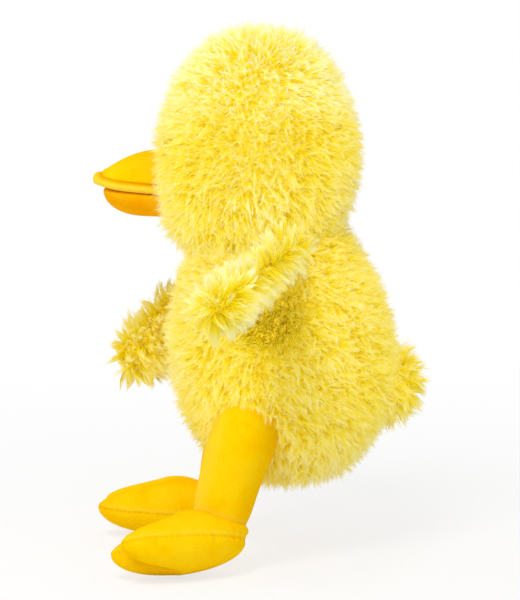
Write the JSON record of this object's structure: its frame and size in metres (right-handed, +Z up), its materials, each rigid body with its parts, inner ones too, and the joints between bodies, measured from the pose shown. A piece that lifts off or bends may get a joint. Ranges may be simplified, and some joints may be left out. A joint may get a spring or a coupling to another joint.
{
  "type": "plush duck",
  "caption": "Sitting soft toy duck with a fluffy head, body, wings and tail, a padded bill, glossy eyes and smooth dangling legs with lobed, webbed feet.",
  "frame": {"origin": "middle of the small flat under the body, on which the duck sits", "axes": "+Z up, -Y where the body faces, +X the duck's own left side"},
  "size_m": [0.3169, 0.2345, 0.3777],
  "materials": {
    "fur_cloth": "long pile fur",
    "velour": "short pile velour",
    "lower_bill_velour": "short pile velour",
    "eye_plastic": "gloss",
    "washer_plastic": "matte",
    "stuffing": "loose fibre",
    "pouch_cloth": "plain weave"
  },
  "bodies": {
    "torso": {"body_cover": "fur_cloth", "body_stuffing": "stuffing", "pellet_pouch": "pouch_cloth", "tail_cover": "fur_cloth", "tail_stuffing": "stuffing"},
    "head": {"head_cover": "fur_cloth", "head_stuffing": "stuffing", "upper_bill_cover": "velour", "upper_bill_stuffing": "stuffing", "lower_bill_cover": "lower_bill_velour", "lower_bill_stuffing": "stuffing", "left_eye": "eye_plastic", "right_eye": "eye_plastic", "left_eye_washer": "washer_plastic", "right_eye_washer": "washer_plastic"},
    "left_wing": {"left_wing_cover": "fur_cloth", "left_wing_stuffing": "stuffing"},
    "left_leg": {"left_leg_cover": "velour", "left_leg_stuffing": "stuffing"},
    "left_foot": {"left_foot_top_panel": "velour", "left_foot_sole_panel": "velour", "left_foot_stuffing": "stuffing"},
    "right_wing": {"right_wing_cover": "fur_cloth", "right_wing_stuffing": "stuffing"},
    "right_leg": {"right_leg_cover": "velour", "right_leg_stuffing": "stuffing"},
    "right_foot": {"right_foot_top_panel": "velour", "right_foot_sole_panel": "velour", "right_foot_stuffing": "stuffing"}
  },
  "joints": [
    {"name": "neck_turn", "type": "hinge", "parent": "torso", "child": "head", "pos_m": [0, -0.0172, 0.2385], "axis": [0, 0, 1], "range_deg": [-30, 75], "stiffness_Nm_per_rad": 0.5},
    {"name": "left_wing_flap", "type": "hinge", "parent": "torso", "child": "left_wing", "pos_m": [0.068, -0.004, 0.171], "axis": [0, -1, 0], "range_deg": [-65, 30], "stiffness_Nm_per_rad": 0.3},
    {"name": "right_wing_flap", "type": "hinge", "parent": "torso", "child": "right_wing", "pos_m": [-0.068, -0.004, 0.171], "axis": [0, 1, 0], "range_deg": [0, 95], "stiffness_Nm_per_rad": 0.3},
    {"name": "left_hip_swing", "type": "hinge", "parent": "torso", "child": "left_leg", "pos_m": [0.0575, -0.034, 0.037], "axis": [-1, 0, 0], "range_deg": [-8, 48], "stiffness_Nm_per_rad": 0.8},
    {"name": "right_hip_swing", "type": "hinge", "parent": "torso", "child": "right_leg", "pos_m": [-0.0575, -0.034, 0.037], "axis": [-1, 0, 0], "range_deg": [-8, 48], "stiffness_Nm_per_rad": 0.8},
    {"name": "left_ankle_flex", "type": "hinge", "parent": "left_leg", "child": "left_foot", "pos_m": [0.0575, -0.052, -0.015], "axis": [1, 0, 0], "range_deg": [-15, 15], "stiffness_Nm_per_rad": 0.4},
    {"name": "right_ankle_flex", "type": "hinge", "parent": "right_leg", "child": "right_foot", "pos_m": [-0.0575, -0.04925, -0.01587], "axis": [1, 0, 0], "range_deg": [-15, 15], "stiffness_Nm_per_rad": 0.4}
  ]
}
